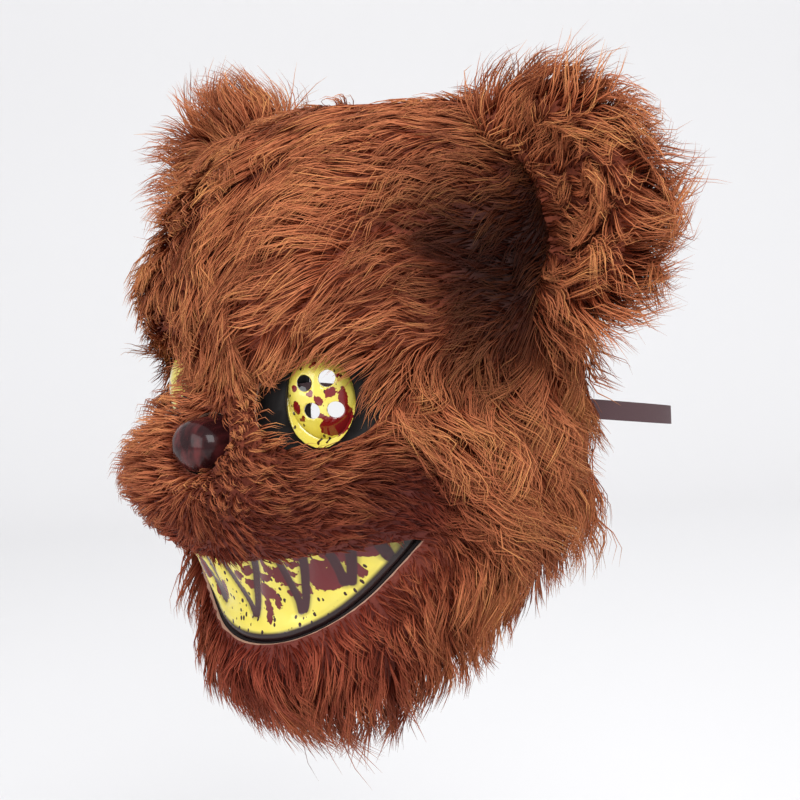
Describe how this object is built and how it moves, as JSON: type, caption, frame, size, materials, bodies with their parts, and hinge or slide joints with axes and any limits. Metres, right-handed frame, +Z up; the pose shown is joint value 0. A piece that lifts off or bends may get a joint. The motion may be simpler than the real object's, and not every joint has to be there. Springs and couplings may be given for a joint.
{
  "type": "bear mask",
  "caption": "Plush bear face mask with a hard plastic face, cupped ears, domed eyes with see-holes, a toothed grin and an elastic strap.",
  "frame": {"origin": "where the mask sits on the wearer's brow, between and behind the eyes, in the hollow of the hard face", "axes": "the mask faces -Y, +Z is up towards the crown and +X is the wearer's left"},
  "size_m": [0.3048, 0.2613, 0.2824],
  "materials": {
    "fur": "long-pile plush",
    "jaw_fur": "long-pile plush, matted",
    "shell_plastic": "satin",
    "eye_plastic": "glossy paint with red blotches",
    "nose_plastic": "glossy",
    "teeth_plastic": "glossy paint, darkened grooves",
    "elastic": "woven elastic",
    "rivet_steel": "satin"
  },
  "bodies": {
    "root": {"mask_shell": "shell_plastic", "eye_left": "eye_plastic", "eye_right": "eye_plastic", "nose": "nose_plastic", "teeth_plate": "teeth_plastic", "forehead_fur": "fur", "muzzle_fur": "fur", "cheek_fur_left": "fur", "cheek_fur_right": "fur", "jaw_fur": "jaw_fur", "ear_left": "fur", "ear_right": "fur", "strap": "elastic", "rivet_left": "rivet_steel", "rivet_right": "rivet_steel"}
  },
  "joints": []
}
